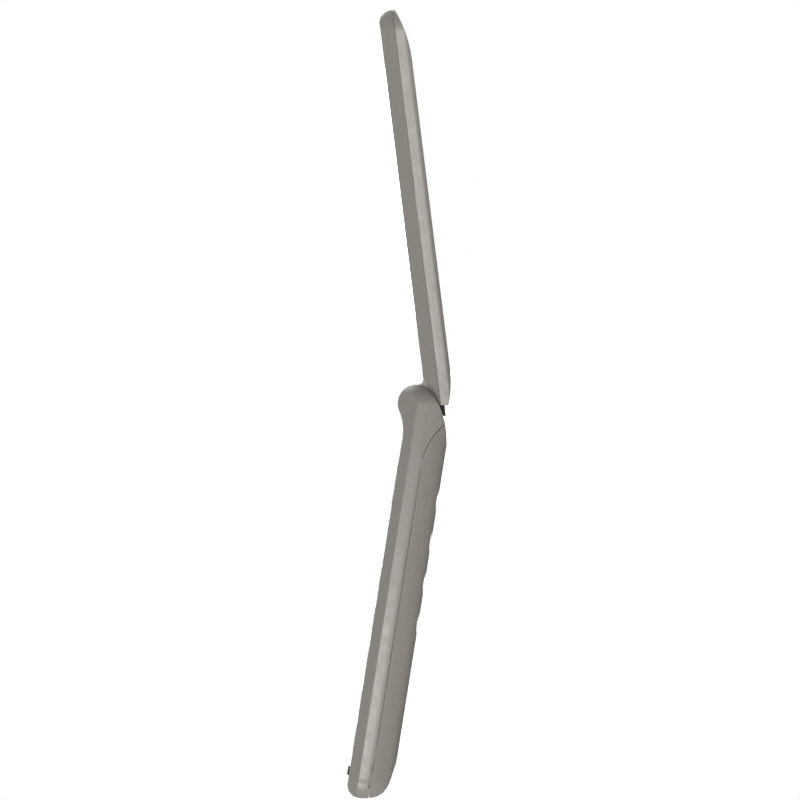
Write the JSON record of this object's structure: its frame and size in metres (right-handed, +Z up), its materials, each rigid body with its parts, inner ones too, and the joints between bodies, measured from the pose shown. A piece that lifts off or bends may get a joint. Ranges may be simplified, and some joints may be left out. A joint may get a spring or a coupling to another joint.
{
  "type": "flip phone",
  "caption": "Clamshell mobile phone, standing open: a thin lid with screens turns on a barrel hinge over a base with keypad, navigation ring, side keys and battery door.",
  "frame": {"origin": "middle of the back, on the flat between the third and fourth thumb grips of the battery door", "axes": "+X along the hinge to the user's right, +Y from the foot to the lid's tip, +Z up out of the keypad"},
  "size_m": [0.0485, 0.1843, 0.0312],
  "materials": {
    "painted_shell": "satin, warm grey champagne metallic paint on ABS",
    "painted_back": "satin, warm grey champagne metallic paint on ABS",
    "key_plastic": "satin lacquered caps",
    "ring_metal_look": "satin plated plastic",
    "silicone": "matte silicone",
    "black_rubber": "matte black rubber",
    "screen_window": "clear hard-coated window",
    "display_glass": "dark display glass",
    "sheet_steel": "pressed sheet steel",
    "steel": "turned steel",
    "bush_plastic": "natural acetal",
    "circuit_board": "green solder mask",
    "dome_film": "clear film with metal domes",
    "flex_film": "amber polyimide film",
    "black_plastic": "black moulding",
    "contact_metal": "gold-plated contacts",
    "battery_can": "wrapped aluminium can",
    "bright_ring": "bright turned ring"
  },
  "bodies": {
    "base": {"front_housing": "painted_shell", "rear_housing": "painted_back", "battery_pack": "battery_can", "battery_contacts": "contact_metal", "main_board": "circuit_board", "shield_cans": "sheet_steel", "card_socket": "sheet_steel", "dome_sheet": "dome_film", "loudspeaker": "black_plastic", "vibration_motor": "steel", "microphone": "black_plastic", "antenna": "black_plastic", "charge_connector": "sheet_steel", "housing_screws": "steel", "hinge_cam": "steel", "hinge_bush": "bush_plastic", "base_flex": "flex_film", "rubber_stops": "black_rubber", "foot_bumpers": "black_rubber"},
    "lid": {"lid_inner_housing": "painted_shell", "lid_outer_housing": "painted_shell", "main_window": "screen_window", "main_display": "display_glass", "display_chassis": "sheet_steel", "lid_board": "circuit_board", "lid_flex": "flex_film", "outer_display": "display_glass", "outer_window": "screen_window", "camera_module": "black_plastic", "camera_ring": "bright_ring", "camera_window": "screen_window", "earpiece": "black_plastic", "earpiece_mesh": "sheet_steel", "lid_magnet": "steel", "lid_screws": "steel", "screw_plugs": "black_rubber", "hinge_cartridge": "steel"},
    "battery_door": {"battery_door": "painted_back"},
    "port_cover": {"port_cover": "painted_back"},
    "volume_rocker": {"volume_rocker": "painted_back"},
    "nav_pad": {"nav_pad": "silicone"},
    "nav_ring": {"nav_ring": "ring_metal_look"},
    "key_send": {"key_send": "key_plastic"},
    "key_clear": {"key_clear": "key_plastic"},
    "key_end": {"key_end": "key_plastic"},
    "key_1": {"key_1": "key_plastic"},
    "key_2": {"key_2": "key_plastic"},
    "key_3": {"key_3": "key_plastic"},
    "key_4": {"key_4": "key_plastic"},
    "key_5": {"key_5": "key_plastic"},
    "key_6": {"key_6": "key_plastic"},
    "key_7": {"key_7": "key_plastic"},
    "key_8": {"key_8": "key_plastic"},
    "key_9": {"key_9": "key_plastic"},
    "key_star": {"key_star": "key_plastic"},
    "key_0": {"key_0": "key_plastic"},
    "key_hash": {"key_hash": "key_plastic"},
    "key_soft_left": {"key_soft_left": "key_plastic"},
    "key_soft_right": {"key_soft_right": "key_plastic"},
    "ok_key": {"ok_key": "key_plastic"}
  },
  "joints": [
    {"name": "lid_hinge", "type": "hinge", "parent": "base", "child": "lid", "pos_m": [0, 0.046, 0.00853], "axis": [1, 0, 0], "range_deg": [0, 164]},
    {"name": "key_send_press", "type": "slide", "parent": "base", "child": "key_send", "axis": [0, 0, -1], "range_m": [0, 0.00035], "stiffness_N_per_m": 400, "springref_m": -0.0005},
    {"name": "key_clear_press", "type": "slide", "parent": "base", "child": "key_clear", "axis": [0, 0, -1], "range_m": [0, 0.00035], "stiffness_N_per_m": 400, "springref_m": -0.0005},
    {"name": "key_end_press", "type": "slide", "parent": "base", "child": "key_end", "axis": [0, 0, -1], "range_m": [0, 0.00035], "stiffness_N_per_m": 400, "springref_m": -0.0005},
    {"name": "key_1_press", "type": "slide", "parent": "base", "child": "key_1", "axis": [0, 0, -1], "range_m": [0, 0.00035], "stiffness_N_per_m": 400, "springref_m": -0.0005},
    {"name": "key_2_press", "type": "slide", "parent": "base", "child": "key_2", "axis": [0, 0, -1], "range_m": [0, 0.00035], "stiffness_N_per_m": 400, "springref_m": -0.0005},
    {"name": "key_3_press", "type": "slide", "parent": "base", "child": "key_3", "axis": [0, 0, -1], "range_m": [0, 0.00035], "stiffness_N_per_m": 400, "springref_m": -0.0005},
    {"name": "key_4_press", "type": "slide", "parent": "base", "child": "key_4", "axis": [0, 0, -1], "range_m": [0, 0.00035], "stiffness_N_per_m": 400, "springref_m": -0.0005},
    {"name": "key_5_press", "type": "slide", "parent": "base", "child": "key_5", "axis": [0, 0, -1], "range_m": [0, 0.00035], "stiffness_N_per_m": 400, "springref_m": -0.0005},
    {"name": "key_6_press", "type": "slide", "parent": "base", "child": "key_6", "axis": [0, 0, -1], "range_m": [0, 0.00035], "stiffness_N_per_m": 400, "springref_m": -0.0005},
    {"name": "key_7_press", "type": "slide", "parent": "base", "child": "key_7", "axis": [0, 0, -1], "range_m": [0, 0.00035], "stiffness_N_per_m": 400, "springref_m": -0.0005},
    {"name": "key_8_press", "type": "slide", "parent": "base", "child": "key_8", "axis": [0, 0, -1], "range_m": [0, 0.00035], "stiffness_N_per_m": 400, "springref_m": -0.0005},
    {"name": "key_9_press", "type": "slide", "parent": "base", "child": "key_9", "axis": [0, 0, -1], "range_m": [0, 0.00035], "stiffness_N_per_m": 400, "springref_m": -0.0005},
    {"name": "key_star_press", "type": "slide", "parent": "base", "child": "key_star", "axis": [0, 0, -1], "range_m": [0, 0.00035], "stiffness_N_per_m": 400, "springref_m": -0.0005},
    {"name": "key_0_press", "type": "slide", "parent": "base", "child": "key_0", "axis": [0, 0, -1], "range_m": [0, 0.00035], "stiffness_N_per_m": 400, "springref_m": -0.0005},
    {"name": "key_hash_press", "type": "slide", "parent": "base", "child": "key_hash", "axis": [0, 0, -1], "range_m": [0, 0.00035], "stiffness_N_per_m": 400, "springref_m": -0.0005},
    {"name": "key_soft_left_press", "type": "slide", "parent": "base", "child": "key_soft_left", "axis": [0, 0, -1], "range_m": [0, 0.00035], "stiffness_N_per_m": 400, "springref_m": -0.0005},
    {"name": "key_soft_right_press", "type": "slide", "parent": "base", "child": "key_soft_right", "axis": [0, 0, -1], "range_m": [0, 0.00035], "stiffness_N_per_m": 400, "springref_m": -0.0005},
    {"name": "ok_key_press", "type": "slide", "parent": "base", "child": "ok_key", "axis": [0, 0, -1], "range_m": [0, 0.00035], "stiffness_N_per_m": 400, "springref_m": -0.0005},
    {"name": "nav_tilt_up_down", "type": "hinge", "parent": "base", "child": "nav_pad", "pos_m": [0, 0.0217, 0.00853], "axis": [1, 0, 0], "range_deg": [-1.3, 1.3], "stiffness_Nm_per_rad": 0.5},
    {"name": "nav_tilt_left_right", "type": "hinge", "parent": "nav_pad", "child": "nav_ring", "pos_m": [0, 0.0217, 0.00853], "axis": [0, 1, 0], "range_deg": [-1.3, 1.3], "stiffness_Nm_per_rad": 0.5},
    {"name": "volume_rock", "type": "hinge", "parent": "base", "child": "volume_rocker", "pos_m": [-0.0221, 0.019, 0.00668], "axis": [0, 0, 1], "range_deg": [-2.5, 2.5], "stiffness_Nm_per_rad": 0.3},
    {"name": "port_cover_swing", "type": "hinge", "parent": "base", "child": "port_cover", "pos_m": [-0.02365, -0.02765, 0.00668], "axis": [0, 0, 1], "range_deg": [0, 95]},
    {"name": "battery_door_lift", "type": "slide", "parent": "base", "child": "battery_door", "axis": [0, 0, -1], "range_m": [0, 0.015]}
  ]
}
